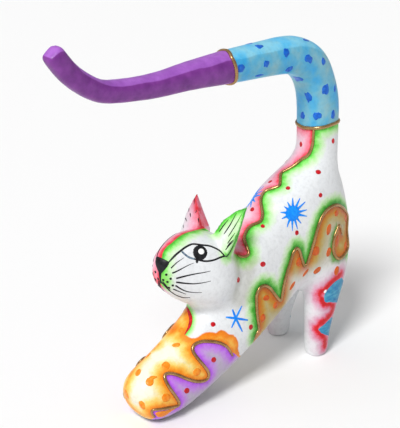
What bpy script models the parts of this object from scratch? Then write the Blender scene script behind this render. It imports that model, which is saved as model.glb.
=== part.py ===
"""A cat carved from light softwood, stretching with its chest low, its rump high and its tail carried forward.

Metres, +Z up. The cat faces -Y and its left side is +X. The carving is one solid, and the origin is on the ground
under the middle of its plan. Knife work is uneven, so the paws, the hind feet and the ears are not quite mirrored.
The figure is drawn on a grid of hundredths of its height, so the pose named in grid units holds at any size.
"""

from math import cos, pi, sin

import bmesh
import bpy
from mathutils import Vector

# Driving dimensions, in metres
HEIGHT = 0.300
GRID = HEIGHT / 100
TRUNK_WIDTH = 0.058
HEAD_WIDTH = 0.057
# The widest trunk and head sections as they are listed below, in grid units, before these widths are applied
WIDEST_SECTION = 9.6
TAIL_ROOT_THICKNESS = 0.032
LEFT_FOOT_FROM_MIDDLE = 0.022
RIGHT_FOOT_FROM_MIDDLE = 0.025
RIGHT_FOOT_SETBACK = 0.003
PAW_DRIFT = 0.0045
EAR_UNEVENNESS = 0.0048

# How much narrower the forelegs and the head are at the top than at mid-height, as a share
FORELEG_TAPER = 0.14
HEAD_TAPER = 0.04

# Squareness of the cross-sections, as superellipse powers: 2 is an ellipse
TRUNK_POWER = 2.1
HEAD_POWER = 2.2
FORELEG_POWER = 2.3
HIND_LEG_POWER = 2.4
CHEST_POWER = 2.5
TAIL_POWER = 2.5

# Resolution of the forms before they are joined
SIDES = 40
RINGS_PER_SPAN = 6

# The joined skin: the size of its faces, how strongly and how often they are smoothed, and the share of them kept
CARVING_STEP = 0.0020
SMOOTHING_STRENGTH = 0.5
SMOOTHING_PASSES = 16
SHARE_OF_FACES_KEPT = 0.125

LEFT = Vector((1, 0, 0))
BACK = Vector((0, 1, 0))
UP = Vector((0, 0, 1))

PAINTED_WOOD = (0.86, 0.85, 0.80, 1.0)
WOOD_ROUGHNESS = 0.45


def clear_scene():
    for thing in list(bpy.data.objects):
        bpy.data.objects.remove(thing, do_unlink=True)


def new_collection(name):
    made = bpy.data.collections.new(name)
    bpy.context.scene.collection.children.link(made)
    return made


def new_object(name, body, collection):
    """An object made from a bmesh, which it uses up."""
    bmesh.ops.recalc_face_normals(body, faces=body.faces)
    mesh = bpy.data.meshes.new(name)
    body.to_mesh(mesh)
    body.free()
    made = bpy.data.objects.new(name, mesh)
    collection.objects.link(made)
    return made


def smooth_rows(rows, per_span):
    """Rows of numbers on a Catmull-Rom curve through the given rows."""
    padded = [rows[0]] + list(rows) + [rows[-1]]
    made = []
    for before, start, end, after in zip(padded, padded[1:], padded[2:], padded[3:]):
        for step in range(per_span):
            t = step / per_span
            made.append([
                0.5 * (2 * b + (c - a) * t + (2 * a - 5 * b + 4 * c - d) * t**2 + (3 * b - a - 3 * c + d) * t**3)
                for a, b, c, d in zip(before, start, end, after)
            ])
    made.append(list(rows[-1]))
    return made


def rounded(value, power):
    """A sine or cosine bent so that the outline it draws is a superellipse of this power."""
    return (1 if value >= 0 else -1) * abs(value) ** (2 / power)


def outline(centre, across, along, half_across, half_along, power, taper=0.0):
    """A closed superellipse ring in the plane of two unit vectors, narrower towards the second by the taper."""
    ring = []
    for side in range(SIDES):
        angle = 2 * pi * (side + 0.5) / SIDES
        height = rounded(sin(angle), power)
        breadth = rounded(cos(angle), power) * (1 - taper * height)
        ring.append(centre + across * half_across * breadth + along * half_along * height)
    return ring


def loft(body, rings):
    """Adds one closed skin through rings of points, with a flat cap at each end."""
    rows = [[body.verts.new(point * GRID) for point in ring] for ring in rings]
    for near, far in zip(rows, rows[1:]):
        for side in range(SIDES):
            after = (side + 1) % SIDES
            body.faces.new((near[side], near[after], far[after], far[side]))
    body.faces.new(list(reversed(rows[0])))
    body.faces.new(rows[-1])


def swept(stations, power, taper=0.0, drift=0.0):
    """Rings along a path. A station is y, z, half-width in X and half-thickness; the path drifts off X = 0."""
    rows = smooth_rows(stations, RINGS_PER_SPAN)
    rings = []
    for index, (y, z, half_width, half_thickness) in enumerate(rows):
        x = drift * (y - rows[-1][0]) / (rows[0][0] - rows[-1][0])
        last, following = rows[max(index - 1, 0)], rows[min(index + 1, len(rows) - 1)]
        heading = Vector((0, following[0] - last[0], following[1] - last[1])).normalized()
        across_path = Vector((0, -heading.z, heading.y))
        rings.append(outline(Vector((x, y, z)), LEFT, across_path, half_width, half_thickness, power, taper))
    return rings


def trunk():
    """The high rump and the hanging belly between the hind legs, as level sections."""
    width = TRUNK_WIDTH / 2 / GRID / WIDEST_SECTION
    # z, y of the centre, half-width, half-length
    sections = [
        (18.4, 1.0, 2.8, 4.4),
        (20.6, 0.8, 6.0, 9.6),
        (24.5, -0.2, 8.4, 14.6),
        (29.5, -1.4, 9.5, 17.2),
        (37.3, -1.6, 9.6, 17.8),
        (43.8, -1.8, 9.1, 16.4),
        (48.1, -0.7, 8.5, 13.7),
        (51.2, 1.4, 7.5, 10.2),
        (54.3, 3.9, 6.3, 7.1),
        (57.5, 5.3, 5.6, 5.8),
        (61.0, 5.4, 5.3, 5.4),
    ]
    return [
        outline(Vector((0, y, z)), LEFT, BACK, half_width * width, half_length, TRUNK_POWER)
        for z, y, half_width, half_length in smooth_rows(sections, RINGS_PER_SPAN)
    ]


def forelegs():
    """Chest and both forelegs, carved as one block that slants down to the paws."""
    stations = [
        (-61.6, 5.9, 3.4, 3.2),
        (-60.6, 6.2, 5.2, 5.2),
        (-57.8, 6.8, 6.7, 6.9),
        (-52.2, 7.7, 7.3, 8.2),
        (-46.6, 9.6, 7.6, 8.8),
        (-38.8, 13.3, 8.0, 9.6),
        (-31.1, 17.9, 8.6, 10.4),
        (-23.3, 23.1, 8.9, 11.4),
        (-14.0, 29.5, 9.1, 12.0),
        (-4.0, 34.4, 8.4, 11.0),
    ]
    return swept(stations, FORELEG_POWER, FORELEG_TAPER, PAW_DRIFT / GRID)


def hind_leg(foot_x, foot_y):
    """One hind leg, from a bevelled foot to a thigh inside the trunk."""
    # share of the foot's distance from the middle plane, y, z, half-width, half-length
    stations = [
        (1.00, 0.0, -2.0, 2.2, 2.2),
        (1.00, 0.0, 0.2, 2.8, 2.9),
        (1.00, 0.1, 2.2, 3.2, 3.4),
        (0.99, 0.3, 7.0, 3.3, 3.7),
        (0.92, 1.9, 14.0, 3.7, 5.2),
        (0.78, 4.1, 21.5, 4.2, 7.2),
        (0.62, 4.5, 29.5, 4.6, 9.0),
        (0.48, 3.6, 36.0, 4.4, 8.8),
    ]
    rings = []
    for share, y, z, half_width, half_length in smooth_rows(stations, RINGS_PER_SPAN):
        centre = Vector((foot_x / GRID * share, y + foot_y / GRID, z))
        rings.append(outline(centre, LEFT, BACK, half_width, half_length, HIND_LEG_POWER))
    return rings


def tail():
    """The tail: up out of the rump, forward over the back and head, and turned up at its tip."""
    root = TAIL_ROOT_THICKNESS / 2 / GRID
    # y, z, thickness as a share of the root's
    path = [
        (5.3, 47.0, 0.96),
        (5.5, 57.5, 0.99),
        (5.4, 64.9, 1.00),
        (5.0, 71.5, 1.00),
        (3.3, 77.2, 0.97),
        (0.4, 81.8, 0.98),
        (-3.8, 84.6, 0.95),
        (-8.5, 85.7, 0.90),
        (-16.5, 86.0, 0.84),
        (-27.6, 86.2, 0.78),
        (-41.0, 86.3, 0.65),
        (-52.5, 86.0, 0.56),
        (-64.9, 87.1, 0.52),
        (-70.2, 89.0, 0.51),
        (-76.1, 93.4, 0.50),
        (-80.6, 99.1, 0.49),
    ]
    return swept([(y, z, root * share, root * share) for y, z, share in path], TAIL_POWER)


def head():
    """The wedge of the head, from the nose back into the neck, narrower above than at the cheeks."""
    width = HEAD_WIDTH / 2 / GRID / WIDEST_SECTION
    # y, top, bottom, half-width
    sections = [
        (-52.0, 41.0, 35.6, 1.4),
        (-51.3, 42.2, 34.4, 2.6),
        (-49.6, 43.8, 32.6, 3.9),
        (-46.6, 45.2, 29.6, 5.5),
        (-43.4, 45.8, 27.4, 7.4),
        (-40.0, 45.8, 25.4, 9.0),
        (-36.6, 45.2, 24.4, 9.6),
        (-33.2, 43.8, 24.8, 9.0),
        (-30.0, 41.8, 26.0, 7.4),
        (-27.6, 39.4, 28.0, 5.0),
    ]
    rings = []
    for y, top, bottom, half_width in smooth_rows(sections, RINGS_PER_SPAN):
        centre, half_height = Vector((0, y, (top + bottom) / 2)), (top - bottom) / 2
        rings.append(outline(centre, LEFT, UP, half_width * width, half_height, HEAD_POWER, HEAD_TAPER))
    return rings


def chest():
    """The deep chest and neck between the head, the forelegs and the back, as level sections."""
    width = TRUNK_WIDTH / 2 / GRID / WIDEST_SECTION
    # z, y of the centre, half-width, half-length
    sections = [
        (15.0, -22.0, 7.0, 7.0),
        (20.0, -21.5, 8.6, 14.3),
        (25.0, -18.4, 9.2, 21.4),
        (29.0, -16.2, 9.4, 23.8),
        (33.0, -14.8, 9.4, 23.3),
        (37.0, -13.2, 9.3, 21.3),
        (40.0, -10.8, 8.8, 18.7),
        (42.5, -8.8, 7.8, 15.7),
        (45.0, -6.5, 6.4, 11.5),
    ]
    return [
        outline(Vector((0, y, z)), LEFT, BACK, half_width * width, half_length, CHEST_POWER)
        for z, y, half_width, half_length in smooth_rows(sections, RINGS_PER_SPAN)
    ]


def ears(collection):
    """Both ears: leaning pyramids with a broad face forward, sunk into the head, the right one a little lower."""
    # x, y, z of the left ear
    corners = [
        (9.5, -29.9, 52.1),
        (7.0, -32.0, 50.6),
        (4.6, -34.0, 47.9),
        (10.0, -33.4, 47.0),
        (9.4, -36.8, 41.0),
        (2.9, -36.0, 44.0),
        (3.4, -30.4, 43.4),
        (7.0, -32.4, 38.5),
        (5.0, -34.0, 36.0),
    ]
    width = HEAD_WIDTH / 2 / GRID / WIDEST_SECTION
    body = bmesh.new()
    for side in (1, -1):
        lift = side * EAR_UNEVENNESS / 2 / GRID
        points = [body.verts.new(Vector((side * x * width, y, z + lift)) * GRID) for x, y, z in corners]
        bmesh.ops.convex_hull(body, input=points)
    return new_object("ears", body, collection)


def rough_figure(collection):
    """All the rounded forms in one object, overlapping, ready for the remesh that makes one skin of them."""
    body = bmesh.new()
    left_leg = hind_leg(LEFT_FOOT_FROM_MIDDLE, 0)
    right_leg = hind_leg(-RIGHT_FOOT_FROM_MIDDLE, RIGHT_FOOT_SETBACK)
    for rings in (trunk(), chest(), forelegs(), left_leg, right_leg, tail(), head()):
        loft(body, rings)
    return new_object("cat", body, collection)


def ground_block(collection):
    """A block below the ground, which saws the feet off flat."""
    size = 3 * HEIGHT
    body = bmesh.new()
    bmesh.ops.create_cube(body, size=size)
    bmesh.ops.translate(body, verts=body.verts, vec=(0, 0, -size / 2))
    return new_object("ground_block", body, collection)


def combined(cat, name, operation, other):
    change = cat.modifiers.new(name, "BOOLEAN")
    change.operation = operation
    change.object = other
    other.hide_render = True
    other.display_type = "WIRE"
    other.parent = cat


def carve(cat, cutters):
    """One smooth skin over the joined forms, then the crisp ears on it and the feet sawn off flat."""
    skin = cat.modifiers.new("skin", "REMESH")
    skin.mode = "VOXEL"
    skin.voxel_size = CARVING_STEP
    smooth = cat.modifiers.new("smooth", "SMOOTH")
    smooth.factor = SMOOTHING_STRENGTH
    smooth.iterations = SMOOTHING_PASSES
    thin = cat.modifiers.new("thin", "DECIMATE")
    thin.ratio = SHARE_OF_FACES_KEPT
    combined(cat, "ears", "UNION", ears(cutters))
    combined(cat, "saw", "DIFFERENCE", ground_block(cutters))


def paint(cat):
    finish = bpy.data.materials.new("painted_wood")
    finish.use_nodes = True
    shader = finish.node_tree.nodes["Principled BSDF"]
    shader.inputs["Base Color"].default_value = PAINTED_WOOD
    shader.inputs["Roughness"].default_value = WOOD_ROUGHNESS
    shader.inputs["Metallic"].default_value = 0.0
    cat.data.materials.append(finish)


def centre_on_origin(cat):
    """Puts the middle of the figure's plan over the origin. The feet are already cut at the ground."""
    bpy.context.view_layer.update()
    shape = cat.evaluated_get(bpy.context.evaluated_depsgraph_get())
    corners = [shape.matrix_world @ Vector(corner) for corner in shape.bound_box]
    for axis in (0, 1):
        places = [corner[axis] for corner in corners]
        cat.location[axis] = -(min(places) + max(places)) / 2


def main():
    clear_scene()
    cat = rough_figure(new_collection("wooden_cat"))
    carve(cat, new_collection("cutters"))
    paint(cat)
    centre_on_origin(cat)


main()
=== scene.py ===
"""The looks of a wooden cat carving: airbrushed colours, brushed pattern, gold outline and satin varnish.

The camera stands where the photograph was taken. The pattern is traced in pixels of the 400 x 428 frame.
Each point is cast from that camera onto the carved wood, and mirrored for the side that can't be seen.
"""

from math import cos, pi, radians, sin

import bmesh
import bpy
import numpy as np
from mathutils import Matrix, Vector, noise
from mathutils.bvhtree import BVHTree


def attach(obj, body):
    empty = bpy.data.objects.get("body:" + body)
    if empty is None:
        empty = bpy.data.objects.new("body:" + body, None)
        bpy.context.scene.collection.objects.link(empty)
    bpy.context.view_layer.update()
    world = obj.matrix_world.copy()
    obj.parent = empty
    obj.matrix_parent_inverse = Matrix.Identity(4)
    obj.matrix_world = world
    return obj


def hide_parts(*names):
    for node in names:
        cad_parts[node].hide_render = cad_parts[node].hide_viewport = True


# The photograph's camera
FRAME_SIZE = (400, 428)
FOCAL_PIXELS = 1200
SENSOR_MM = 36
AZIMUTH = radians(47.5)
ELEVATION = radians(22)
CAMERA_PLACE = Vector((0.61821, -0.57840, 0.48783))

MM = 0.001
BODY_STEP = 1.22 * MM
BODY_SMOOTHING = 9
EAR_SMOOTHING = 0.12
# The plane between the two sides, and how it drifts to the left low down towards the paws
MIDDLE_X = 1.5 * MM
PAW_DRIFT = 4.5 * MM
DRIFT_START = 85
DRIFT_RUN = 170
DRIFT_RISE = 15
# The largest distance that is stored, in millimetres
FAR = 60.0

# Lines of the pattern on the cat's left side, in pixels of the photograph
BACK_LINE = [
    (313.9, 130), (313.3, 136.7), (312.8, 143.3), (310.6, 151), (307.2, 156), (301.7, 159.5), (295, 165),
    (288.3, 169.2), (282.8, 172.2), (280.6, 175.6), (280.2, 182.2), (279, 186), (272.8, 188.5),
    (266, 191), (262.2, 195.6), (261, 202.2), (262, 208.9), (262.6, 214.4), (261.4, 220), (258.3, 222.8),
    (251.7, 225.6), (247.2, 230), (244.4, 236.7), (245, 242.2), (247.2, 247.8), (248.7, 252.8),
    (246.5, 256), (241.7, 256.7), (237.2, 255),
]
BAND_LINE = [
    (255.2, 337), (256.6, 333), (258.6, 328.9), (257.2, 316.7), (256.3, 305), (256.3, 295.6),
    (258.3, 290), (261, 286.7), (265, 285.6), (269.4, 287.8), (273.9, 293.3), (277.8, 298.4),
    (280.5, 300.2), (281.6, 297), (283.3, 287), (285, 279), (287.2, 271), (290, 262.2), (292.8, 253.3),
    (296.4, 248.2), (299.4, 251), (301.7, 258.9), (304.4, 266), (307.4, 262), (310.6, 252.2),
    (313.3, 243.3), (316, 233.3), (319.4, 222.2), (323.9, 213.3), (329.4, 207.8), (336, 205),
    (341.5, 206.8), (345.3, 211), (347.6, 216), (349.5, 222), (350, 230), (349.5, 238), (348.5, 245),
    (347.2, 249.5), (345.5, 253),
]
# Where the band's line curls in from the rear edge
LOOP_LINE = [
    (345.5, 253), (341.7, 257.6), (337.2, 258.2), (333.6, 253.3), (332.8, 246.7), (333.9, 237.8),
    (336.7, 230), (338.9, 225.4), (341, 229), (341.8, 234),
]
PAW_LINE = [
    (232.5, 355.5), (230, 351), (226.5, 346.5), (221.3, 343.5), (215.8, 342), (206.9, 341.3),
    (200.8, 341.8), (194.9, 344.4), (192.6, 348.4), (194, 353.3), (199, 360), (204.7, 366.7),
    (208.2, 372.2), (208, 377.6), (203.6, 380.8), (195.8, 381.3), (186.9, 378.9), (180.2, 376),
    (173.6, 373.9), (166.9, 373.6), (164.6, 376.4), (165.8, 381), (170.2, 388.9), (175.8, 396.7),
    (179, 403), (176.9, 406), (169, 407.8), (160, 409.2), (152.8, 410), (151.9, 413.3), (154.7, 417),
]
CHEST_LINE = [
    (186.3, 306.7), (189, 312.2), (190.8, 318.9), (189.7, 325.6), (186.9, 331), (184.7, 334.4),
]
SCALLOP_LINE = [
    (184.7, 334.4), (191, 338), (197, 337.6), (202.4, 333.9), (207, 332.2), (212.4, 332.2), (216, 333),
    (220, 330), (224.7, 331), (229, 334.2), (233.6, 335), (236.9, 338.9), (238.6, 344.4), (238, 349),
    (239.5, 354),
]
FACE_LINE = [
    (160, 283.5), (160.5, 277), (160.8, 272), (161, 266), (161.8, 259), (162.5, 254), (164, 250.5),
    (167, 246.5), (170.5, 244), (175, 240), (180, 236), (186, 233), (192, 231.2), (198, 229.5),
    (204, 228.4),
]
LEFT_EAR_EDGE = [
    (215.5, 228.5), (222.5, 219.5), (232.5, 212.6), (241, 209.6), (245.5, 210), (243, 221), (238, 235),
    (231.5, 250), (228.5, 255),
]
RIGHT_EAR_RIDGE = [(196, 196), (197.5, 205), (199.5, 215), (201.5, 226)]
# Where painted shade darkens the valley under the head, partly over an olive airbrushed tint, in pixels
NECK_SHADE = [(237, 259), (238, 268), (240, 280), (237, 292), (242, 301), (251, 264), (245, 272)]
LEG_RED = [
    (341, 273.5), (334.7, 279.5), (329.3, 285), (323, 290.5), (319, 295), (321.4, 300), (325, 304),
    (331, 304.6), (333, 308), (330.6, 314.5), (325, 320.2), (318, 325.6), (317, 330), (320.6, 334.6),
    (324, 337), (325, 342), (325, 347),
]
UPPER_TEAL = [
    (341.5, 277.4), (334.7, 282), (329.3, 287.5), (324.9, 293.8), (323.9, 299.3), (325.8, 302.4),
    (330, 302.2), (337, 302.5), (343, 300), (349, 290),
]
LOWER_TEAL = [
    (331.5, 317), (324.9, 323.8), (318.4, 329.3), (321, 332.8), (326.5, 335.2), (331, 336), (336, 330),
    (336, 320),
]
PINK_SIDE = [
    (237.2, 255), (229, 251), (224, 240), (216, 229), (208, 228), (180, 190), (230, 130), (297, 100),
    (313.9, 100),
]
TRACED_LINES = {
    "back": BACK_LINE, "paw": PAW_LINE, "chest": CHEST_LINE, "scallop": SCALLOP_LINE, "face": FACE_LINE,
    "right_ear": RIGHT_EAR_RIDGE, "leg_red": LEG_RED, "upper_teal": UPPER_TEAL, "lower_teal": LOWER_TEAL,
}
CHIN = (164, 281)
FRONT_GLOW = [
    (158, 345), (143, 358), (132, 372), (126.5, 384), (125, 394), (128, 402), (135, 410), (146, 417),
]

# How the areas inside those lines close, in pixels
LOOP_CLOSURE = [(345, 236), (353, 238), (353, 253)]
LOOP_OUTSIDE = (337.5, 250)
FORE_CLOSURE = [(239.5, 354), (300, 460), (60, 460), (60, 300), (186.3, 300)]
RIGHT_EAR_REST = [(215, 226), (215, 196)]
# The same for areas that close in side view, as Y and Z in millimetres
BAND_CLOSURE = [(127, 75), (126, 66), (100, 62), (62, 40), (21.7, 20)]
PAW_CLOSURE = [(-75, -9), (0, -9), (12, 12), (6, 30), (-4, 40)]
# The red line on the right of the throat, in millimetres
RIGHT_CHEST = [
    (-9.6, -17.6, 69.7), (-13, -21, 66), (-15, -25, 62), (-14.5, -29, 58.5), (-12, -32, 56),
    (-3, -37, 59),
]
# Which way the left ear's hollow faces
EAR_FRONT = np.array([0.55, -0.65, 0.52])
# Starts for finding the wood beside a line of sight. A place further off than SAME_SIDE is the wrong one
EAR_MIDDLE = Vector((0.020, -0.003, 0.146))
REAR_EDGE = Vector((0.025, 0.132, 0.103))
SAME_SIDE = 0.3
EASED_PAST = 120 * MM

# The back's line on down the rear, as distance left of the middle and height, in millimetres
REAR_LINE = [
    (0, 194), (4, 188), (4, 180), (-2, 174), (-5, 167), (-2, 159), (4, 153), (6, 146), (1, 139),
    (-4, 133), (-3, 127), (1, 121), (5, 114), (5, 107), (0, 100), (-4, 93), (-3, 86), (0, 80),
]
# Dabs on the back of the tail: that place, with half the width and half the height
REAR_DABS = [(0, 252, 3, 3.6), (-7, 236, 2.6, 3.4), (5, 224, 3.2, 2.8), (-3, 208, 2.8, 3.6)]
REAR_TURNS = np.arange(0, 2 * pi, 0.4)

# Rings on the tail: height, or distance along it, in millimetres at every 45 degrees round it
BODY_RING = [196.5, 195, 193.3, 194, 195, 195.5, 195.2, 196.6]
BODY_RING_AXIS = (1.5, 114)
TAIL_RING = [11, 9.6, 13.6, 13, 12, 11.5, 12.5, 12.8]
TAIL_RING_AXIS = (1.5, 259.5)

# Brushed strokes: the pixels along each, its width in millimetres, and what share of it the two ends have
EYE_STROKES = [
    ([(168.5, 262.5), (175, 255.5), (181, 250.5), (185, 247.5), (190, 244.8), (194, 244), (202, 245),
      (209, 245.8), (215, 248), (220, 251), (224.5, 255.8)], 1.6, (0.7, 0.7)),
    ([(193, 258.7), (198, 259.8), (206, 261.2), (214, 260), (220, 257.5), (224.5, 256.2), (227.5, 256.2)],
     1.45, (0.6, 0.9)),
    ([(226.5, 257), (229, 253.5), (231, 250), (233.5, 245)], 1.9, (0.8, 0.3)),
]
TEAR_STROKES = [([(181, 250.5), (184.5, 254), (188.5, 257), (193, 258.7), (195, 259)], 1.5, (0.3, 0.9))]
MOUTH_STROKES = [
    ([(160.8, 272), (160.5, 276), (160.2, 280), (160, 283.5)], 1.3, (1, 0.8)),
    ([(161.3, 281.5), (165, 286), (170, 291), (176, 295), (183, 297.5), (190, 297.5)], 1.3, (0.6, 0.5)),
    ([(162.5, 281), (166, 285.5), (170.5, 290)], 0.9, (0.6, 0.4)),
]
WHISKERS = [
    ([(171, 268.2), (177, 262.5), (184, 257.8)], 1, (1, 0.3)),
    ([(172.2, 273.2), (177, 271.2), (185, 267), (190, 264.5), (194, 263)], 1.3, (1, 0.25)),
    ([(176.2, 278.5), (185, 276.2), (195, 274), (204, 272.5), (210.5, 271)], 1.5, (1, 0.3)),
    ([(176.2, 282.2), (184, 283.2), (193, 283.8), (200, 283.2), (206, 282.2), (211, 281)], 1.5, (1, 0.3)),
    ([(175.5, 285.5), (181, 289), (187, 291.5), (194, 292.5), (202, 292.5)], 1.4, (1, 0.3)),
    ([(173.2, 289), (179, 291.5), (186, 294.2)], 1.3, (1, 0.4)),
]
EAR_TAPER = (0.6, 0.4)
LEFT_EAR_STROKES = [
    ([(219, 232), (224, 225), (228.5, 219.5)], 1),
    ([(223.8, 234.2), (230, 225), (236.5, 213)], 1),
    ([(228.3, 236.5), (235, 226), (241.5, 214.5)], 0.8),
    ([(227.5, 243.5), (231, 238.5), (235, 233)], 0.9),
    ([(227, 247), (230, 243), (234, 239.5)], 0.9),
    ([(225.5, 250), (229, 245.5), (233.5, 241)], 0.9),
]
RIGHT_EAR_STROKES = [
    ([(189, 208), (188.8, 212)], 0.9),
    ([(190, 213), (190.6, 217)], 1.2),
    ([(185, 217.5), (187, 221.5)], 0.9),
    ([(194.5, 198), (194, 205)], 0.8),
    ([(195.5, 213), (197, 210)], 0.8),
    ([(198, 218), (199, 222.5)], 1),
    ([(183, 223), (183.5, 228)], 0.8),
]
ASTERISK = (235.8, 318.3)
ASTERISK_TIPS = [(225.8, 317.2), (232.4, 309.4), (241.9, 306), (248, 320.2), (242.4, 331.7), (231.6, 327.8)]
BURST = (292.8, 213.3)
BURST_CORE = 6.2 * MM
# The second burst lies past the back's edge, this far from the edge's pixel
RIGHT_BURST = (255, 194)
RIGHT_BURST_SHIFT = Vector((-8, 0, -3)) * MM
BURST_TIPS = [
    (293.3, 196.7), (300.6, 197.8), (306, 201.7), (307.8, 210), (308.3, 216.7), (302.2, 223.9),
    (298.3, 229.4), (291.7, 231), (285.6, 227.8), (281.7, 218.9), (280.6, 212.2), (284.4, 206),
    (287.8, 201),
]
NOSE = [(157.8, 257.4), (162.4, 258.4), (168.8, 262), (168.2, 265.4), (165, 269.6), (161.6, 273.4)]

# Dabs of paint: centre, half the width and half the height in pixels, and any turn in degrees
EYE_DABS = [(200.3, 252.4, 7.3, 7.7), (197, 261.3, 1, 1.7)]
EYE_WHITE_DAB = (201.2, 251.5, 2.7, 2.6)
LEG_WHITE_DAB = (325.3, 291.5, 0.9, 1.6, 35)
# How much further every dab reaches than it was traced, in pixels
DAB_EDGE = 0.35
WHISKER_DOTS = [(166.3, 274.8), (170.7, 278.8), (163.2, 280), (167.5, 282), (172.8, 285.5), (169, 287.8)]
RED_DABS = [
    (333.2, 141, 1.6, 2.3), (318.3, 172, 2.6, 2), (288, 188, 2, 1.8), (320.6, 195.3, 1.9, 2),
    (262.8, 226, 1.9, 1.9), (296.9, 232.8, 2, 2.1), (263, 264.2, 2.8, 2.5), (238.3, 280, 1.8, 2.6),
    (213, 324.4, 2.2, 2.2), (251, 327.2, 2.2, 2.4), (186.9, 390.9, 2.8, 2.6), (213.8, 359.8, 2.6, 2.5),
]
BACK_RED_DABS = [(300.8, 144.2, 1.4, 2.4), (252.2, 209.4, 2, 2.2)]
ORANGE_DABS = [
    (336.7, 213.3, 2.6, 3), (346, 217.8, 2, 4), (328.9, 229.4, 2.5, 5.4, 8), (316, 251, 4, 4.6),
    (328.9, 252.2, 2.6, 4.6, 12), (317.2, 270.6, 4.6, 2.6, -38), (336.7, 271, 2.6, 4.6, 12),
    (305.5, 273, 1.4, 4.6, 40), (292.5, 285.8, 1.6, 5, 35), (345.6, 245.6, 1.5, 4),
    (337.2, 241, 2.2, 6, 5), (266.5, 298, 3.4, 2.6), (275.6, 305.6, 2.6, 3.2), (263, 318, 2.8, 4),
    (299, 262, 3.2, 4.2, 10),
]
FORELEG_DABS = [(165.8, 365.6, 4, 4), (166.3, 397.8, 4.4, 4.2), (196.9, 372.2, 4, 3.8)]
FOOT_PATCH = [
    (154.8, 413.5), (158, 411.6), (166, 410.4), (176, 408), (171, 411.6), (164, 416.4), (157.5, 417),
]
FRONT_DABS = [
    (138, 372.2, 2.6, 4, 10), (149.7, 381.7, 4, 4), (126.3, 394.4, 2.4, 4.6, -12),
    (141.9, 405.6, 2.8, 4.8, -15), (181, 330, 2.6, 2.2, -40), (176, 345, 4, 2, -8),
]
TAIL_DABS = [
    (259, 46, 4.5, 3), (241, 68.4, 4, 3.8), (266.4, 64.4, 3.2, 3.4), (259.4, 75.6, 4.5, 1.2),
    (286.4, 52.4, 3, 4.5, 20), (289.6, 69.4, 4, 3, -20), (297, 78.6, 4.5, 3.4, 10), (309, 59, 3.8, 4),
    (323.6, 61.4, 2.2, 4.5, -10), (306.6, 38.6, 3.5, 1.8), (326, 89.4, 3.6, 5.5, 10), (335, 88, 1, 4),
    (308, 97.6, 3.2, 6, -15), (302.4, 115.4, 2.4, 4), (317.4, 116, 3.6, 4.5, 25), (333, 115.6, 2.2, 4.6),
]
TAIL_SPACING = 10 * MM
FRONT_STROKE = [(150, 379), (153, 377.5), (157, 377)]

# Where the body's areas begin and end, in millimetres
BROW_HEIGHT = 136.5
NAPE_START = -6
NAPE_SLOPE = 0.75
EAR_TIP_HEIGHT = 139.5
PHILTRUM_X = 5.2
MUZZLE_Y = -35
MUZZLE_SHIFT = 3.5 * MM
MUZZLE_RUN = 20
MUZZLE_TOP = 118
HEAD_BACK = 4
HEAD_BOTTOM = 88
REAR_START = 100
HIND_FRONT = 60
HIND_TOP = 75
BAND_FADE_TOP = 72
BAND_FADE_FRONT = 70
THROAT_TOP = 80
FORE_TOP = 76
FORE_FRONT = -37
FLANK_DEPTH = 9 * MM
TAIL_BOTTOM = 215
TIP_BOTTOM = 225

# Airbrushed colours by the distance from a line in millimetres, as they look on a screen
WHITE = (231, 233, 235)
# GREEN, the darker, is used near the band and partly paints the shade there; BRIGHT_GREEN, used away from
# it, partly paints the light
GREEN = [
    (0, (34, 130, 16)), (2.6, (58, 160, 34)), (4.6, (112, 196, 84)), (6.8, (176, 220, 154)),
    (9.2, (216, 230, 208)), (12, WHITE),
]
BRIGHT_GREEN = [
    (0, (60, 166, 42)), (2, (92, 206, 64)), (4, (142, 230, 112)), (6.5, (194, 238, 174)),
    (9.5, (222, 238, 214)), (12, WHITE),
]
PINK = [
    (0, (224, 36, 52)), (1.8, (236, 72, 88)), (3.6, (245, 132, 154)), (8, (247, 186, 206)),
    (13, (240, 214, 226)), (20, WHITE),
]
ORANGE = [
    (0, (184, 80, 0)), (3, (200, 108, 2)), (6, (196, 134, 22)), (9, (190, 160, 80)),
    (13, (188, 176, 132)), (22, (210, 204, 184)),
]
FORELEG = [
    (0, (238, 120, 8)), (2.8, (247, 148, 30)), (5.5, (249, 190, 76)), (8.5, (248, 220, 132)),
    (13, (244, 240, 218)),
]
PURPLE = [
    (0, (160, 68, 208)), (3, (192, 104, 238)), (6, (198, 142, 228)), (10, (192, 172, 206)),
    (16, (190, 184, 196)),
]
LEG_RED_GLOW = [
    (0, (200, 14, 26)), (1.5, (216, 30, 42)), (2.7, (222, 96, 122)), (5, (216, 158, 182)),
    (9, (220, 204, 214)),
]
# Painted shade for the valley under the head, partly an olive airbrushed tint
NECK_SHADOW = (136, 132, 88)
CHIN_RED = (236, 64, 70)
CHIN_GREEN = (138, 222, 96)
LOOP_RED = (228, 66, 84)
LOOP_GREEN = (84, 152, 44)
BLACK = (0, 0, 0)
# How much of a reflection the paint has
SHEEN = 0.28
# Brushed colours by a noise's value
TEAL = [(0.3, (36, 116, 178)), (0.5, (54, 146, 186)), (0.7, (88, 170, 198))]
TAIL_BLUE = [(0.3, (56, 168, 226)), (0.5, (98, 180, 212)), (0.7, (138, 188, 200))]
# Paler tail colours for the painted highlight on the tail's upward faces
TAIL_BLUE_PAINTED_HIGHLIGHT = [(0.3, (74, 188, 240)), (0.6, (136, 208, 232))]
TAIL_VIOLET = [(0.3, (112, 42, 132)), (0.7, (138, 62, 158))]
TAIL_VIOLET_PAINTED_HIGHLIGHT = [(0.3, (152, 82, 184)), (0.7, (174, 104, 206))]

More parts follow.
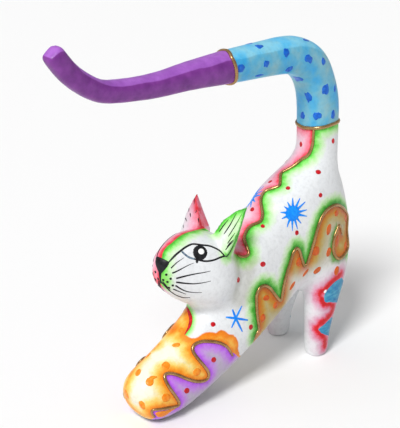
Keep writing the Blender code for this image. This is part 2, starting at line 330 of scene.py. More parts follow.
# How finely relief is laid, and its widths and heights
BEAD_STEP = 0.8 * MM
DAB_STEP = 0.9 * MM
GOLD_WIDTH = 2.8 * MM
GOLD_HEIGHT = 1.35 * MM
STROKE_HEIGHT = 0.28 * MM
DAB_HEIGHT = 0.22 * MM
THIN = 0.2 * MM
CORE_HEIGHT = 0.24 * MM
NOSE_HEIGHT = 0.35 * MM
RAY_WIDTH = 2.3 * MM
RAY_PARTS = 8
CORE_CORNERS = 30
# How deep relief reaches into the wood
SUNK = 0.35 * MM
# The share of a line's length over which it swells to full width
START_FADE = 0.12

# Lights: azimuth, elevation and width in degrees, and strength
SUNS = [("key", 22, 50, 18, 2.6), ("fill", -60, 60, 60, 0.4)]
WORLD_LIGHT = 0.34
WORLD_SEEN = 1.0
FLOOR_REACH = 30
FLOOR_WHITE = (0.93, 0.93, 0.93, 1)
FLOOR_ROUGHNESS = 0.7


def camera_axes():
    back = Vector((sin(AZIMUTH) * cos(ELEVATION), -cos(AZIMUTH) * cos(ELEVATION), sin(ELEVATION)))
    right = Vector((cos(AZIMUTH), sin(AZIMUTH), 0))
    return right, back.cross(right), back


def make_camera():
    right, up, back = camera_axes()
    data = bpy.data.cameras.new("photo_camera")
    data.lens = FOCAL_PIXELS * SENSOR_MM / max(FRAME_SIZE)
    data.sensor_width = SENSOR_MM
    camera = linked("photo_camera", data)
    turn = Matrix((right, up, back)).transposed().to_4x4()
    camera.matrix_world = Matrix.Translation(CAMERA_PLACE) @ turn
    bpy.context.scene.camera = camera


def linked(name, data):
    made = bpy.data.objects.new(name, data)
    bpy.context.scene.collection.objects.link(made)
    return made


def applied(thing):
    """The object's mesh with its modifiers applied, in place."""
    shape = thing.evaluated_get(bpy.context.evaluated_depsgraph_get())
    mesh = bpy.data.meshes.new_from_object(shape)
    thing.modifiers.clear()
    thing.data = mesh


def carved_body(cad):
    """The CAD solid with a finer, rounder skin, smoothed less on the ears."""
    body = linked("painted_body", cad.data.copy())
    body.data.materials.clear()
    skin = body.modifiers.new("skin", "REMESH")
    skin.mode = "VOXEL"
    skin.voxel_size = BODY_STEP
    applied(body)
    ears = body.vertex_groups.new(name="sanded")
    for vertex in body.data.vertices:
        ears.add([vertex.index], EAR_SMOOTHING if on_an_ear(vertex.co) else 1.0, "REPLACE")
    smooth = body.modifiers.new("sanding", "SMOOTH")
    smooth.factor = 0.5
    smooth.iterations = BODY_SMOOTHING
    smooth.vertex_group = "sanded"
    applied(body)
    body.vertex_groups.clear()
    body.data.shade_smooth()
    return body


def on_an_ear(point):
    """True above the slope from the brow to the nape, where only the ears stand."""
    y, z = point.y / MM, point.z / MM
    slope = BROW_HEIGHT - NAPE_SLOPE * max(y - NAPE_START, 0)
    return (-16 < y < 12 and z > slope) or (-26 < y < -10 and z > EAR_TIP_HEIGHT)


def per_vertex(mesh, name):
    values = np.empty(len(mesh.vertices) * 3)
    mesh.vertices.foreach_get(name, values)
    return values.reshape(-1, 3)


class Wood:
    """The carved surface: what the camera sees of it, the nearest place on it, and the normal there."""

    def __init__(self, body):
        mesh = body.data
        mesh.calc_loop_triangles()
        self.points, self.normals = per_vertex(mesh, "co"), per_vertex(mesh, "normal")
        self.corners = [tuple(triangle.vertices) for triangle in mesh.loop_triangles]
        self.tree = BVHTree.FromPolygons([Vector(point) for point in self.points], self.corners)
        self.axes = camera_axes()

    def normal(self, place, face):
        a, b, c = (Vector(self.points[i]) - place for i in self.corners[face])
        weights = (b.cross(c).length, c.cross(a).length, a.cross(b).length)
        mixed = sum((Vector(self.normals[i]) * w for i, w in zip(self.corners[face], weights)), Vector())
        return mixed.normalized()

    def cast(self, start, towards):
        return self.tree.ray_cast(start, towards)[0]

    def sight(self, pixel):
        right, up, back = self.axes
        across = (pixel[0] - FRAME_SIZE[0] / 2) / FOCAL_PIXELS
        down = (pixel[1] - FRAME_SIZE[1] / 2) / FOCAL_PIXELS
        return right * across - up * down - back

    def seen(self, pixel):
        return self.cast(CAMERA_PLACE, self.sight(pixel))

    def near(self, pixel, start=Vector((0, 0, 0.1))):
        """The place seen at a pixel, or the wood nearest to that line of sight, sought from the start."""
        place = self.seen(pixel)
        if place and (place - start).length < SAME_SIDE:
            return place
        sight = self.sight(pixel)
        place = start
        for _ in range(6):
            reach = (place - CAMERA_PLACE).dot(sight) / sight.dot(sight)
            place = self.tree.find_nearest(CAMERA_PLACE + sight * reach)[0]
        return place

    def on_plane(self, pixel, place, normal):
        """Where a pixel's line of sight meets the plane through a place."""
        sight = self.sight(pixel)
        return CAMERA_PLACE + sight * ((place - CAMERA_PLACE).dot(normal) / sight.dot(normal))

    def nearest(self, point):
        place, _, face, _ = self.tree.find_nearest(point)
        return place, self.normal(place, face)


def curve_through(points, step):
    """Points about one step apart on a Catmull-Rom curve."""
    points = [np.array(point, float) for point in points]
    padded = [points[0]] + points + [points[-1]]
    made = []
    for a, b, c, d in zip(padded, padded[1:], padded[2:], padded[3:]):
        parts = max(1, int(np.linalg.norm(c - b) / step))
        for i in range(parts):
            t = i / parts
            made.append(0.5 * (2 * b + (c - a) * t + (2 * a - 5 * b + 4 * c - d) * t**2
                               + (3 * b - a - 3 * c + d) * t**3))
    made.append(points[-1])
    return made


def turns(count):
    """Equal angles round a circle."""
    return [2 * pi * i / count for i in range(count)]


def traced(wood, pixels, step=0.6):
    """A drawn line's places on the wood."""
    places = [wood.seen(pixel) for pixel in curve_through(pixels, step)]
    return [place for place in places if place is not None]


def middle(y, z):
    """The X of the plane between the cat's two sides. The paws drift to its left."""
    forward = np.clip((DRIFT_START - y / MM) / DRIFT_RUN, 0, 1)
    low = np.clip((DRIFT_START - z / MM) / DRIFT_RISE, 0, 1)
    return MIDDLE_X + PAW_DRIFT * forward * low


def mirrored(wood, places):
    """The same line on the cat's other side. The muzzle's middle lies a little left of the body's."""
    made = []
    for place in places:
        centre = middle(place.y, place.z)
        if place.z > HEAD_BOTTOM * MM:
            centre += MUZZLE_SHIFT * np.clip((MUZZLE_Y - place.y / MM) / MUZZLE_RUN, 0, 1)
        made.append(wood.nearest(Vector((2 * centre - place.x, place.y, place.z)))[0])
    return made


def evened(places, step):
    """The same line with its points one step apart."""
    kept = np.array([place[:] for place in places])
    run = np.concatenate([[0], np.cumsum(np.linalg.norm(np.diff(kept, axis=0), axis=1))])
    count = max(int(run[-1] / step), 2)
    marks = np.linspace(0, run[-1], count + 1)
    return [Vector([np.interp(mark, run, kept[:, axis]) for axis in range(3)]) for mark in marks]


def eased(wood, places, reach=7):
    """The same line with its corners rounded where it rides the rear edge."""
    path = evened(places, 0.6 * MM)
    for _ in range(3):
        before = list(path)
        for i in range(reach, len(path) - reach):
            if path[i].y > EASED_PAST:
                path[i] = sum(before[i - reach:i + reach + 1], Vector()) / (2 * reach + 1)
    return [wood.nearest(place)[0] for place in path]


class Relief:
    """Beads and dabs of paint that stand on the wood, gathered into one closed-shell mesh."""

    def __init__(self, wood):
        self.wood = wood
        self.points = []
        self.faces = []

    def add(self, rings, closed=False):
        """Skins a list of equal rings. Open ends are capped."""
        first = len(self.points)
        count = len(rings[0])
        for ring in rings:
            self.points.extend(ring)
        spans = len(rings) if closed else len(rings) - 1
        for i in range(spans):
            near, far = first + i * count, first + (i + 1) % len(rings) * count
            for side in range(count):
                after = (side + 1) % count
                self.faces.append((near + side, near + after, far + after, far + side))
        if not closed:
            self.faces.append(tuple(first + side for side in reversed(range(count))))
            last = first + (len(rings) - 1) * count
            self.faces.append(tuple(last + side for side in range(count)))

    def bead(self, places, width, height, taper=(1, 1), fade=START_FADE, closed=False, sides=8):
        """A rounded line of paint. The taper is the share of its width at its start and end.

        Over the fade, a share of its length, it thins out.
        """
        path = evened(places, BEAD_STEP)
        if closed:
            path = path[:-1]
        stands = [self.wood.nearest(place) for place in path]
        rings = []
        for i, (place, normal) in enumerate(stands):
            before = stands[i - 1][0] if i or closed else place
            after = stands[(i + 1) % len(stands)][0] if i + 1 < len(stands) or closed else place
            heading = (after - before).normalized()
            side = heading.cross(normal).normalized()
            share = swell(i / max(len(stands) - 1, 1), taper, fade) if not closed else 1.0
            ring = []
            for angle in turns(sides):
                rise = height * share * sin(angle) if sin(angle) > 0 else SUNK * sin(angle)
                ring.append(place + side * (width / 2 * share * cos(angle)) + normal * rise)
            rings.append(ring)
        self.add(rings, closed)

    def dab(self, outline, centre, height, base=0.0):
        """A filled shape of paint, inside an outline round its centre. The base lifts it onto another."""
        rings = []
        steps = max(4, int(max((corner - centre).length for corner in outline) / DAB_STEP))
        shares = [max(i / steps, 0.02) for i in range(steps + 1)]
        for level, layer in ((1, shares), (-1, reversed(shares))):
            for share in layer:
                ring = []
                for corner in outline:
                    place, normal = self.wood.nearest(centre.lerp(corner, share))
                    rise = base + height * (1 - share**4) if level > 0 else -SUNK
                    ring.append(place + normal * rise)
                rings.append(ring)
        self.add(rings)

    def patch(self, outline, height):
        """A filled shape round its own middle."""
        self.dab(outline, self.wood.nearest(sum(outline, Vector()) / len(outline))[0], height)

    def finish(self, name, material):
        mesh = bpy.data.meshes.new(name)
        mesh.from_pydata(self.points, [], self.faces)
        outward = bmesh.new()
        outward.from_mesh(mesh)
        bmesh.ops.recalc_face_normals(outward, faces=outward.faces)
        outward.to_mesh(mesh)
        outward.free()
        mesh.shade_smooth()
        made = linked(name, mesh)
        made.data.materials.append(material)
        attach(made, "root")


def swell(t, taper, fade):
    """Full width along a line's middle, less towards its two ends."""
    start, end = taper
    rise = min(t / START_FADE, 1.0)
    fall = min((1 - t) / fade, 1.0)
    return (start + (1 - start) * rise) * (end + (1 - end) * fall)


def periodic(degrees, stations):
    """What a ring's stations give at an angle."""
    return np.interp(degrees, range(0, 361, 45), stations + stations[:1])


def ring_places(wood, stations, axis, upright):
    """A loop round the tail. Its angles turn from +X to -Y where the tail is upright, or else to +Z."""
    made = []
    for degrees in range(0, 360, 4):
        along = periodic(degrees, stations)
        turn = radians(degrees)
        if upright:
            centre = Vector((axis[0], axis[1], along)) * MM
            out = Vector((cos(turn), -sin(turn), 0))
        else:
            centre = Vector((axis[0], along, axis[1])) * MM
            out = Vector((cos(turn), 0, sin(turn)))
        made.append(wood.cast(centre + out * 0.05, -out))
    return made


def gold_lines(relief, lines):
    curled = lines["band"] + lines["loop"][1:]
    for line in (curled, mirrored(relief.wood, curled)):
        relief.bead(line, GOLD_WIDTH, GOLD_HEIGHT, (0.7, 0.5), fade=0.03)
    for line in (lines["back"], lines["paw"], lines["rear"], mirrored(relief.wood, lines["paw"])):
        relief.bead(line, GOLD_WIDTH, GOLD_HEIGHT, (0.7, 0.6))
    for ring in (lines["body_ring"], lines["tail_ring"]):
        relief.bead(ring + ring[:1], GOLD_WIDTH * 1.1, GOLD_HEIGHT, closed=True)


def camera_pixels(points):
    """Where points fall in the photograph, as an array."""
    right, up, back = (np.array(axis) for axis in camera_axes())
    offset = points - np.array(CAMERA_PLACE)
    depth = -(offset @ back)
    across = FRAME_SIZE[0] / 2 + FOCAL_PIXELS * (offset @ right) / depth
    down = FRAME_SIZE[1] / 2 - FOCAL_PIXELS * (offset @ up) / depth
    return np.stack([across, down], 1)


def faces_camera(points, normals):
    return np.einsum("ij,ij->i", normals, np.array(CAMERA_PLACE) - points) > 0


def inside(places, polygon):
    """Which of many flat places lie inside a polygon."""
    polygon = np.array(polygon, float)
    across, along = places[:, 0], places[:, 1]
    found = np.zeros(len(places), bool)
    for (ax, ay), (bx, by) in zip(polygon, np.roll(polygon, -1, axis=0)):
        crosses = (ay > along) != (by > along)
        if by != ay:
            found ^= crosses & (across < (bx - ax) * (along - ay) / (by - ay) + ax)
    return found


def distance(points, line):
    """Millimetres from each of many points to the nearest place on a line, no more than FAR."""
    line = np.array([place[:] for place in line])
    nearest = np.full(len(points), (FAR * MM) ** 2)
    for place in line:
        offset = points - place
        np.minimum(nearest, np.einsum("ij,ij->i", offset, offset), out=nearest)
    return np.sqrt(nearest) / MM


def signed(where, size):
    return np.where(where, size, -size)


def side_view(line):
    """A line's places as Y and Z in millimetres."""
    return [(place.y / MM, place.z / MM) for place in line]


def paint_fields(wood, lines):
    """Named distances in millimetres for each vertex, from which the body's material makes its colours.

    A factor above 1 on a distance narrows its glow, and one below 1 widens it.
    """
    points, normals = wood.points, wood.normals
    x, y, z = points[:, 0] / MM, points[:, 1] / MM, points[:, 2] / MM
    centre = middle(points[:, 1], points[:, 2])
    left = points[:, 0] >= centre
    as_left = points.copy()
    as_left[:, 0] = np.where(left, points[:, 0], 2 * centre - points[:, 0])
    pixels, left_pixels = camera_pixels(points), camera_pixels(as_left)
    flat = np.stack([y, z], 1)
    facing = faces_camera(points, normals)
    ear = np.array([on_an_ear(Vector(point)) for point in points])
    fields = {}

    band = inside(flat, side_view(lines["band"]) + BAND_CLOSURE)
    band_edge = distance(as_left, lines["band"])
    fields["band"] = signed(band, band_edge)
    fields["band_edge"] = band_edge
    fields["above_legs"] = np.maximum(z - BAND_FADE_TOP, BAND_FADE_FRONT - y)
    left_normals = normals * np.where(left, 1, -1)[:, None] ** np.array([1, 0, 0])
    loop = inside(left_pixels, LOOP_LINE + LOOP_CLOSURE) & (y > HIND_FRONT)
    loop &= faces_camera(as_left, left_normals)
    loop_edge = distance(as_left, lines["loop"])
    outside_loop = (left_pixels[:, 0] < LOOP_OUTSIDE[0]) | (left_pixels[:, 1] > LOOP_OUTSIDE[1])
    fields["loop"] = np.where(loop | outside_loop, signed(loop, loop_edge), -FAR)
    fields["loop_edge"] = np.minimum(loop_edge, band_edge)
    paw = inside(flat, side_view(lines["paw"]) + PAW_CLOSURE)
    fields["paw_edge"] = distance(as_left, lines["paw"])
    fields["paw"] = signed(paw, fields["paw_edge"])

    throat = [(place.x / MM, place.y / MM) for place in lines["chest"] + lines["right_chest"]]
    throat_patch = inside(np.stack([x, y], 1), throat) & (z < THROAT_TOP) & (normals[:, 2] > 0)
    flank = left | (y < FORE_FRONT) | (as_left[:, 0] - centre > FLANK_DEPTH)
    fore = inside(left_pixels, CHEST_LINE + SCALLOP_LINE + FORE_CLOSURE) & flank & (z < FORE_TOP)
    fore |= throat_patch
    scallop = distance(as_left, lines["scallop"])
    chest = np.minimum(distance(points, lines["chest"]), distance(points, lines["right_chest"]))
    fields["fore"] = signed(fore, np.minimum(scallop, chest))
    front = distance(points, lines["front_glow"]) + 3.0
    fields["fore_edge"] = np.minimum.reduce([fields["paw_edge"], scallop * 0.8, chest, front])

    face = np.array(sorted((place.y / MM, place.x / MM) for place in lines["face"]
                           if place.z > MUZZLE_TOP * MM))
    face_x = np.where(z > MUZZLE_TOP, np.interp(y, face[:, 0], face[:, 1]), PHILTRUM_X)
    rear = np.array([(place.z / MM, place.x / MM) for place in reversed(lines["rear"])])
    rear_x = np.interp(z, rear[:, 0], rear[:, 1])
    head = (y < HEAD_BACK) & (z > HEAD_BOTTOM)
    pink = facing & inside(pixels, BACK_LINE + PINK_SIDE) & ~head
    pink |= head & (x < face_x)
    pink |= ~facing & ~head & (x < np.where(y > REAR_START, rear_x, MIDDLE_X / MM))
    pink |= (y > 50) & (z < 80) & ~left
    pink = np.where(ear, x < 0, pink)
    divide = distance(points, lines["back"] + lines["face"] + lines["rear"])
    fields["divide"] = signed(~pink, divide)

    angle = np.degrees(np.arctan2(-(y - BODY_RING_AXIS[1]), x - BODY_RING_AXIS[0])) % 360
    ring_z = periodic(angle, BODY_RING)
    on_tail = (z > ring_z) & (y > HIND_FRONT) | (z > TAIL_BOTTOM)
    body_ring = distance(points, lines["body_ring"])
    fields["tail"] = signed(on_tail, body_ring)
    angle = np.degrees(np.arctan2(z - TAIL_RING_AXIS[1], x - TAIL_RING_AXIS[0])) % 360
    tip = (z > TIP_BOTTOM) & (y < periodic(angle, TAIL_RING))
    fields["tip"] = signed(tip, distance(points, lines["tail_ring"]))

    left_rim = distance(points, lines["left_ear"])
    left_ear = np.where(np.einsum("ij,j->i", normals, EAR_FRONT) < 0.35, 0.5, 1.25 * left_rim)
    ridge = 1.2 * distance(points, lines["right_ear"])
    right_ear = np.where(inside(pixels, RIGHT_EAR_RIDGE + RIGHT_EAR_REST), 3.2, ridge)
    edge = np.minimum.reduce([divide, body_ring, fields["loop_edge"], chest * 2.0])
    round_ear = head & (x > 3) & (z > 112)
    edge = np.where(round_ear, np.minimum(edge, left_rim * 1.3), edge)
    fields["edge"] = np.where(ear, np.where(x > 0, left_ear, right_ear), edge)

    fields["red"] = distance(as_left, lines["leg_red"])
    teals = []
    for name in ("upper_teal", "lower_teal"):
        teal = inside(left_pixels, TRACED_LINES[name]) & (z < HIND_TOP) & (y > HIND_FRONT)
        teals.append(signed(teal, distance(as_left, lines[name])))
    fields["teal"] = np.maximum(*teals)
    fields["shade"] = distance(as_left, lines["neck"])
    fields["chin"] = distance(as_left, lines["chin"])
    return fields


def store_fields(body, fields):
    for name, values in fields.items():
        layer = body.data.attributes.new(name, "FLOAT", "POINT")
        layer.data.foreach_set("value", np.asarray(values, np.float32))


def linear(colour):
    """A colour as it looks on a screen, 0 to 255, in the linear values that a shader takes, with alpha."""
    made = []
    for value in colour:
        share = value / 255
        made.append(share / 12.92 if value < 11 else ((share + 0.055) / 1.055) ** 2.4)
    return (*made, 1)


class Recipe:
    """A node material under construction."""

    def __init__(self, name):
        self.material = bpy.data.materials.new(name)
        self.material.use_nodes = True
        self.nodes = self.material.node_tree.nodes
        self.shader = self.nodes["Principled BSDF"]
        self.shader.inputs["Specular IOR Level"].default_value = SHEEN
        self.place = self.nodes.new("ShaderNodeTexCoord").outputs["Object"]

    def put(self, socket, value):
        """Links or sets an input. A colour is given as it looks on a screen."""
        if isinstance(value, bpy.types.NodeSocket):
            self.material.node_tree.links.new(value, socket)
        elif socket.type == "RGBA":
            socket.default_value = linear(value)
        else:
            socket.default_value = value

    def node(self, kind, inputs):
        made = self.nodes.new("ShaderNode" + kind)
        for name, value in inputs.items():
            self.put(made.inputs[name], value)
        return made

    def field(self, name):
        made = self.node("Attribute", {})
        made.attribute_name = name
        return made.outputs["Fac"]

    def upward(self):
        """How far the surface faces up, from -1 to 1."""
        normal = self.node("TexCoord", {}).outputs["Normal"]
        return self.node("SeparateXYZ", {"Vector": normal}).outputs["Z"]

    def noise(self, scale, detail, stretch=None):
        """A cloudy value round 0.5, finer with a larger scale."""
        place = self.place
        if stretch:
            place = self.node("Mapping", {"Vector": place, "Scale": stretch}).outputs["Vector"]
        return self.node("TexNoise", {"Scale": scale, "Detail": detail, "Vector": place}).outputs["Fac"]

    def math(self, operation, *values):
        made = self.node("Math", {})
        made.operation = operation
        for socket, value in zip(made.inputs, values):
            self.put(socket, value)
        return made.outputs["Value"]

    def scaled(self, value, factor, added=0.0):
        return self.math("MULTIPLY_ADD", value, factor, added)

    def between(self, value, low, high, smooth=True):
        """0 below low, 1 above high."""
        made = self.node("MapRange", {"Value": value, "From Min": low, "From Max": high})
        made.interpolation_type = "SMOOTHSTEP" if smooth else "LINEAR"
        return made.outputs["Result"]

    def fading(self, value, low, high):
        """1 below low, 0 above high."""
        return self.math("SUBTRACT", 1.0, self.between(value, low, high))

    def ramp(self, value, stops):
        """A colour by a value, from (value, colour) stops."""
        low, high = stops[0][0], stops[-1][0]
        made = self.node("ValToRGB", {"Fac": self.between(value, low, high, smooth=False)})
        elements = made.color_ramp.elements
        while len(elements) < len(stops):
            elements.new(0.5)
        for element, (at, colour) in zip(elements, stops):
            element.position = (at - low) / (high - low)
            element.color = linear(colour)
        return made.outputs["Color"]

    def mix(self, share, first, second):
        made = self.node("Mix", {})
        made.data_type = "RGBA"
        for socket, value in zip(("Factor", 6, 7), (share, first, second)):
            self.put(made.inputs[socket], value)
        return made.outputs[2]

    def bump(self, height, depth, under=None):
        made = self.node("Bump", {"Height": height, "Strength": 1.0, "Distance": depth})
        if under:
            self.put(made.inputs["Normal"], under)
        return made.outputs["Normal"]

    def finish(self, inputs):
        for name, value in inputs.items():
            self.put(self.shader.inputs[name], value)
        return self.material


def body_material():
    """All the airbrushed colour, with painted shade under the head and beside the band and painted
    highlights on the tail's upward faces, under satin varnish over lightly sanded wood.
    """
    recipe = Recipe("body_paint")
    cloud = recipe.scaled(recipe.noise(190, 3), 6.0, -3.0)
    speck = recipe.scaled(recipe.noise(1300, 2), 3.0, -1.5)
    waver = recipe.math("ADD", cloud, speck)
    fine = recipe.scaled(recipe.noise(900, 2), 0.5, -0.25)

    def soft(name):
        """A distance that wavers as sprayed paint does."""
        return recipe.math("ADD", recipe.field(name), waver)

    def crisp(name, blur=0.25):
        """0 outside an area and 1 inside it."""
        return recipe.between(recipe.math("ADD", recipe.field(name), fine), -blur, blur)

    edge = soft("edge")
    # Painted light and shade in the green glow: darker near the band, brighter away from it
    painted_light_away_from_band = recipe.between(recipe.field("band_edge"), 3.0, 14.0)
    green = recipe.mix(painted_light_away_from_band, recipe.ramp(edge, GREEN), recipe.ramp(edge, BRIGHT_GREEN))
    colour = recipe.mix(crisp("divide"), recipe.ramp(edge, PINK), green)
    # Painted shade in the valley under the head, partly an olive airbrushed tint
    neck = recipe.fading(soft("shade"), 0.0, 11.0)
    colour = recipe.mix(recipe.scaled(neck, 0.35), colour, NECK_SHADOW)
    chin = recipe.fading(soft("chin"), 2.0, 8.5)
    colour = recipe.mix(recipe.scaled(chin, 0.9), colour, recipe.mix(crisp("divide"), CHIN_RED, CHIN_GREEN))

    above_legs = recipe.between(recipe.field("above_legs"), 0.0, 20.0)
    band = recipe.mix(above_legs, WHITE, recipe.ramp(soft("band_edge"), ORANGE))
    loop_glow = recipe.mix(crisp("divide"), LOOP_RED, LOOP_GREEN)
    loop = recipe.mix(crisp("loop"), loop_glow, recipe.ramp(soft("loop_edge"), ORANGE))
    near_loop = recipe.between(soft("loop"), -8.0, -1.5)
    colour = recipe.mix(crisp("band"), colour, recipe.mix(near_loop, band, loop))
    foreleg = recipe.ramp(soft("fore_edge"), FORELEG)
    foreleg = recipe.mix(crisp("paw"), foreleg, recipe.ramp(soft("paw_edge"), PURPLE))
    colour = recipe.mix(crisp("fore", 0.6), colour, foreleg)
    red = soft("red")
    colour = recipe.mix(recipe.fading(red, 5.0, 17.0), colour, recipe.ramp(red, LEG_RED_GLOW))
    colour = recipe.mix(crisp("teal"), colour, recipe.ramp(recipe.noise(150, 2, stretch=(1, 1, 3)), TEAL))

    # Painted highlight: the tail's upward faces, with a wavering edge, take the paler colours
    painted_top_highlight = recipe.between(recipe.scaled(recipe.noise(60, 2), 0.3, recipe.upward()), 0.62, 0.74)
    cloudy, streaky = recipe.noise(70, 4), recipe.noise(110, 5)
    blue = recipe.mix(painted_top_highlight, recipe.ramp(cloudy, TAIL_BLUE), recipe.ramp(cloudy, TAIL_BLUE_PAINTED_HIGHLIGHT))
    violet = recipe.mix(painted_top_highlight, recipe.ramp(streaky, TAIL_VIOLET), recipe.ramp(streaky, TAIL_VIOLET_PAINTED_HIGHLIGHT))
    colour = recipe.mix(crisp("tail"), colour, recipe.mix(crisp("tip"), blue, violet))

    mottle = recipe.between(recipe.noise(330, 5), 0.42, 0.72)
    colour = recipe.mix(recipe.scaled(mottle, 0.09), colour, BLACK)
    grain = recipe.between(recipe.noise(2600, 2), 0.45, 0.8)
    colour = recipe.mix(recipe.scaled(grain, 0.08), colour, BLACK)
    gloss = recipe.scaled(recipe.noise(140, 3), 0.22, 0.30)
    carved = recipe.bump(recipe.noise(110, 2), 0.5 * MM)
    brushed = recipe.bump(recipe.noise(700, 3), 0.09 * MM, carved)
    grained = recipe.bump(recipe.noise(1900, 2), 0.05 * MM, brushed)
    return recipe.finish({
        "Base Color": colour, "Roughness": gloss, "Normal": grained,
        "Coat Weight": 0.10, "Coat Roughness": 0.25,
    })


def brushed_material(name, deep, light, roughness=0.32, metallic=0.0, uneven=0.04 * MM, grain=420):
    """A coat of brushed paint: two close tones in patches, and a little unevenness."""
    recipe = Recipe(name)
    tones = recipe.ramp(recipe.noise(grain, 3), [(0.35, deep), (0.65, light)])
    gloss = recipe.scaled(recipe.noise(600, 2), 0.2, roughness - 0.1)
    bumps = recipe.bump(recipe.noise(1500, 2), uneven)
    return recipe.finish({"Base Color": tones, "Roughness": gloss, "Normal": bumps, "Metallic": metallic})


def floor_material():
    made = bpy.data.materials.new("white_floor")
    made.use_nodes = True
    shader = made.node_tree.nodes["Principled BSDF"]
    shader.inputs["Base Color"].default_value = FLOOR_WHITE
    shader.inputs["Roughness"].default_value = FLOOR_ROUGHNESS
    return made


def cast_from_behind(wood, marks):
    """Places on the rear, from distances left of the middle and heights in millimetres."""
    starts = [Vector((MIDDLE_X + left * MM, 0.3, height * MM)) for left, height in marks]
    places = [wood.cast(start, Vector((0, -1, 0))) for start in starts]
    return [place for place in places if place is not None]


def pattern_lines(wood):
    """Every line of the pattern, as places on the wood."""
    lines = {name: traced(wood, pixels) for name, pixels in TRACED_LINES.items()}
    lines["neck"] = traced(wood, NECK_SHADE, 1.5)
    lines["chin"] = [wood.seen(CHIN)]
    lines["left_ear"] = [wood.near(pixel, EAR_MIDDLE) for pixel in curve_through(LEFT_EAR_EDGE, 0.6)]
    lines["front_glow"] = [wood.near(pixel) for pixel in curve_through(FRONT_GLOW, 1.0)]
    lines["body_ring"] = ring_places(wood, BODY_RING, BODY_RING_AXIS, upright=True)
    lines["tail_ring"] = ring_places(wood, TAIL_RING, TAIL_RING_AXIS, upright=False)
    band = [wood.near(pixel, REAR_EDGE) for pixel in curve_through(BAND_LINE, 0.6)]
    curl = eased(wood, band + traced(wood, LOOP_LINE))
    turn = min(range(len(curl)), key=lambda i: (curl[i] - band[-1]).length)
    lines["band"], lines["loop"] = curl[:turn + 1], curl[turn:]
    lines["rear"] = cast_from_behind(wood, curve_through(REAR_LINE, 1.0))
    throat = reversed(curve_through(RIGHT_CHEST, 1.0))
    lines["right_chest"] = [wood.nearest(Vector(point) * MM)[0] for point in throat]
    return lines


def blot(wood, dab, wobble=0.14, corners=18):
    """The outline of a dab on the wood, a little uneven as the brush leaves it, and its centre."""
    x, y, half_width, half_height, *turned = dab
    half_width, half_height = half_width + DAB_EDGE, half_height + DAB_EDGE
    turn = radians(sum(turned))
    centre = wood.near((x, y))
    _, normal = wood.nearest(centre)
    plane = (normal + 0.35 * (CAMERA_PLACE - centre).normalized()).normalized()
    outline = []
    for angle in turns(corners):
        reach = 1 + wobble * noise.noise(Vector((x, y, 0)) + Vector((cos(angle), sin(angle), 0.5)) * 1.3)
        across, down = half_width * reach * cos(angle), half_height * reach * sin(angle)
        pixel = (x + across * cos(turn) - down * sin(turn), y + across * sin(turn) + down * cos(turn))
        outline.append(wood.nearest(wood.on_plane(pixel, centre, plane))[0])
    return outline, centre


def add_dabs(relief, dabs, height=DAB_HEIGHT, both_sides=True, wobble=0.14, base=0.0):
    for dab in dabs:
        outline, centre = blot(relief.wood, dab, wobble)
        relief.dab(outline, centre, height, base)
        if both_sides:
            relief.dab(mirrored(relief.wood, outline), mirrored(relief.wood, [centre])[0], height, base)


def add_strokes(relief, strokes, height=STROKE_HEIGHT, fade=0.5, both_sides=True):
    for pixels, width, taper in strokes:
        line = traced(relief.wood, pixels)
        for side in [line, mirrored(relief.wood, line)] if both_sides else [line]:
            relief.bead(side, width * MM, height, taper, fade, sides=6)


def black_lines(relief, _):
    """The lines of the face and ears, with the nose and the eyes."""
    add_strokes(relief, EYE_STROKES, fade=0.15)
    add_strokes(relief, MOUTH_STROKES, fade=0.2)
    add_strokes(relief, WHISKERS, fade=0.9)
    ears = [(pixels, width, EAR_TAPER) for pixels, width in LEFT_EAR_STROKES + RIGHT_EAR_STROKES]
    add_strokes(relief, ears, both_sides=False)
    add_dabs(relief, EYE_DABS, wobble=0.03)
    add_dabs(relief, [(x, y, 1.0, 1.0) for x, y in WHISKER_DOTS])
    left = traced(relief.wood, NOSE, 0.8)
    relief.patch(left + mirrored(relief.wood, left)[::-1], NOSE_HEIGHT)


def white_dabs(relief, _):
    """The lights in the eyes, and a speck on the hind leg."""
    add_dabs(relief, [EYE_WHITE_DAB], 0.15 * MM, wobble=0.05, base=0.3 * MM)
    add_dabs(relief, [LEG_WHITE_DAB])


def tear_lines(relief, _):
    add_strokes(relief, TEAR_STROKES, THIN, fade=0.3)


def red_dots(relief, lines):
    add_dabs(relief, RED_DABS)
    add_dabs(relief, BACK_RED_DABS, both_sides=False)
    relief.bead(lines["chest"], 2.8 * MM, THIN, (0.6, 0.3), 0.3, sides=6)


def orange_spots(relief, _):
    add_dabs(relief, ORANGE_DABS)


def foreleg_spots(relief, _):
    add_dabs(relief, FORELEG_DABS)
    add_dabs(relief, FRONT_DABS, both_sides=False)
    foot = traced(relief.wood, FOOT_PATCH + FOOT_PATCH[:1], 1.0)[:-1]
    for outline in (foot, mirrored(relief.wood, foot)):
        relief.patch(outline, THIN)
    relief.bead(traced(relief.wood, FRONT_STROKE), 3.2 * MM, THIN, (0.8, 0.3), 0.6, sides=6)


def tail_spots(relief, _):
    """Spots seen in the photograph, and the same again on the tail's far side."""
    wood = relief.wood
    seen = [blot(wood, dab, 0.5) for dab in TAIL_DABS]
    for outline, centre in seen:
        relief.dab(outline, centre, DAB_HEIGHT)
        across = mirrored(wood, [centre])[0]
        if all((across - other).length > TAIL_SPACING for _, other in seen):
            relief.dab(mirrored(wood, outline), across, DAB_HEIGHT)
    for left, height, half_width, half_height in REAR_DABS:
        ring = [(left + half_width * cos(turn), height + half_height * sin(turn)) for turn in REAR_TURNS]
        relief.dab(cast_from_behind(wood, ring), cast_from_behind(wood, [(left, height)])[0], DAB_HEIGHT)


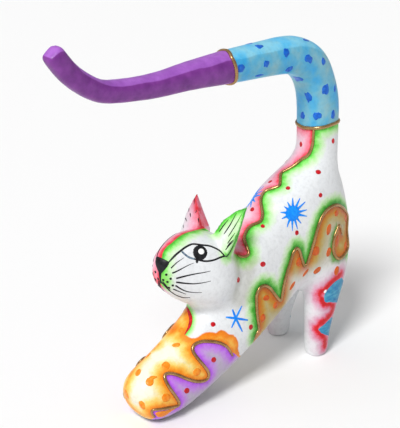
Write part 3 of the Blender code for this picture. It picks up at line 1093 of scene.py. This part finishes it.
def burst(relief, centre, tips):
    """A round core with tapering rays."""
    for tip in tips:
        start = centre + (tip - centre).normalized() * BURST_CORE * 0.6
        ray = [relief.wood.nearest(start.lerp(tip, i / RAY_PARTS))[0] for i in range(RAY_PARTS + 1)]
        relief.bead(ray, RAY_WIDTH, THIN, (1.0, 0.3), 0.8, sides=6)
    _, normal = relief.wood.nearest(centre)
    side = normal.orthogonal().normalized()
    along = normal.cross(side)
    circle = []
    for angle in turns(CORE_CORNERS):
        out = side * cos(angle) + along * sin(angle)
        circle.append(relief.wood.nearest(centre + out * BURST_CORE)[0])
    relief.dab(circle, centre, CORE_HEIGHT)


def blue_stars(relief, _):
    """The burst past the back's edge repeats the left one. The asterisk is on both sides."""
    wood = relief.wood
    centre = wood.seen(BURST)
    _, normal = wood.nearest(centre)
    tips = [wood.on_plane(tip, centre, normal) for tip in BURST_TIPS]
    burst(relief, centre, tips)
    right_centre, right_normal = wood.nearest(wood.near(RIGHT_BURST) + RIGHT_BURST_SHIFT)
    turn = normal.rotation_difference(right_normal)
    burst(relief, right_centre, [right_centre + turn @ (tip - centre) for tip in tips])
    add_strokes(relief, [([ASTERISK, tip], 1.9, (1.0, 0.6)) for tip in ASTERISK_TIPS], DAB_HEIGHT)


def make_stage():
    corners = [(x * FLOOR_REACH, y * FLOOR_REACH, 0) for x, y in ((-1, -1), (1, -1), (1, 1), (-1, 1))]
    mesh = bpy.data.meshes.new("floor")
    mesh.from_pydata(corners, [], [(0, 1, 2, 3)])
    mesh.materials.append(floor_material())
    floor = linked("floor", mesh)


def make_lights():
    for name, azimuth, elevation, spread, strength in SUNS:
        data = bpy.data.lights.new(name, "SUN")
        data.angle = radians(spread)
        data.energy = strength
        lamp = linked(name, data)
        level = cos(radians(elevation))
        turn = radians(azimuth)
        lamp.location = (level * sin(turn), -level * cos(turn), sin(radians(elevation)))
        lamp.rotation_euler = (-lamp.location).to_track_quat("-Z", "Y").to_euler()
    world = bpy.data.worlds.new("studio")
    world.use_nodes = True
    backdrop = world.node_tree.nodes["Background"]
    backdrop.inputs["Color"].default_value = (1, 1, 1, 1)
    # The backdrop looks white to the camera but lights the cat less
    seen = world.node_tree.nodes.new("ShaderNodeLightPath").outputs["Is Camera Ray"]
    strength = world.node_tree.nodes.new("ShaderNodeMapRange")
    strength.inputs["To Min"].default_value = WORLD_LIGHT
    strength.inputs["To Max"].default_value = WORLD_SEEN
    world.node_tree.links.new(seen, strength.inputs["Value"])
    world.node_tree.links.new(strength.outputs["Result"], backdrop.inputs["Strength"])
    bpy.context.scene.world = world
    bpy.context.scene.view_settings.view_transform = "Standard"


# Each piece of relief, what fills it, and its paint: name, two tones, roughness, metal, unevenness and grain
PIECES = [
    ("gold_outline", gold_lines, "gold_paint", (154, 118, 74), (180, 144, 98), 0.28, 0.75, 0.012 * MM, 120),
    ("black_lines", black_lines, "black_paint", (14, 14, 18), (34, 34, 38), 0.45),
    ("white_dabs", white_dabs, "white_paint", (236, 236, 234), (250, 250, 248)),
    ("tear_lines", tear_lines, "tear_paint", (70, 90, 110), (128, 148, 166)),
    ("red_dots", red_dots, "red_paint", (176, 8, 20), (212, 26, 40)),
    ("orange_spots", orange_spots, "orange_paint", (196, 78, 0), (220, 100, 8)),
    ("foreleg_spots", foreleg_spots, "light_orange_paint", (240, 128, 10), (248, 156, 42)),
    ("tail_spots", tail_spots, "blue_paint", (6, 84, 190), (22, 112, 216)),
    ("blue_stars", blue_stars, "star_paint", (8, 124, 240), (24, 152, 252)),
]

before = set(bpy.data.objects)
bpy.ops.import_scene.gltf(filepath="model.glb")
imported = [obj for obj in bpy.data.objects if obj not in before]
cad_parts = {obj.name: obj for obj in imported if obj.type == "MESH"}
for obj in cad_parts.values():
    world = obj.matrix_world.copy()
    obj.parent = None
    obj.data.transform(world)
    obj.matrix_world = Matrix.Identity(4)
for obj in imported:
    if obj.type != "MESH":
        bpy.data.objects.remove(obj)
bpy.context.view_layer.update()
make_camera()
body = carved_body(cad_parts["cat"])
body.data.materials.append(body_material())
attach(body, "root")
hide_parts("cat")
wood = Wood(body)
lines = pattern_lines(wood)
store_fields(body, paint_fields(wood, lines))
for name, fill, *paint in PIECES:
    relief = Relief(wood)
    fill(relief, lines)
    relief.finish(name, brushed_material(*paint))
make_stage()
make_lights()
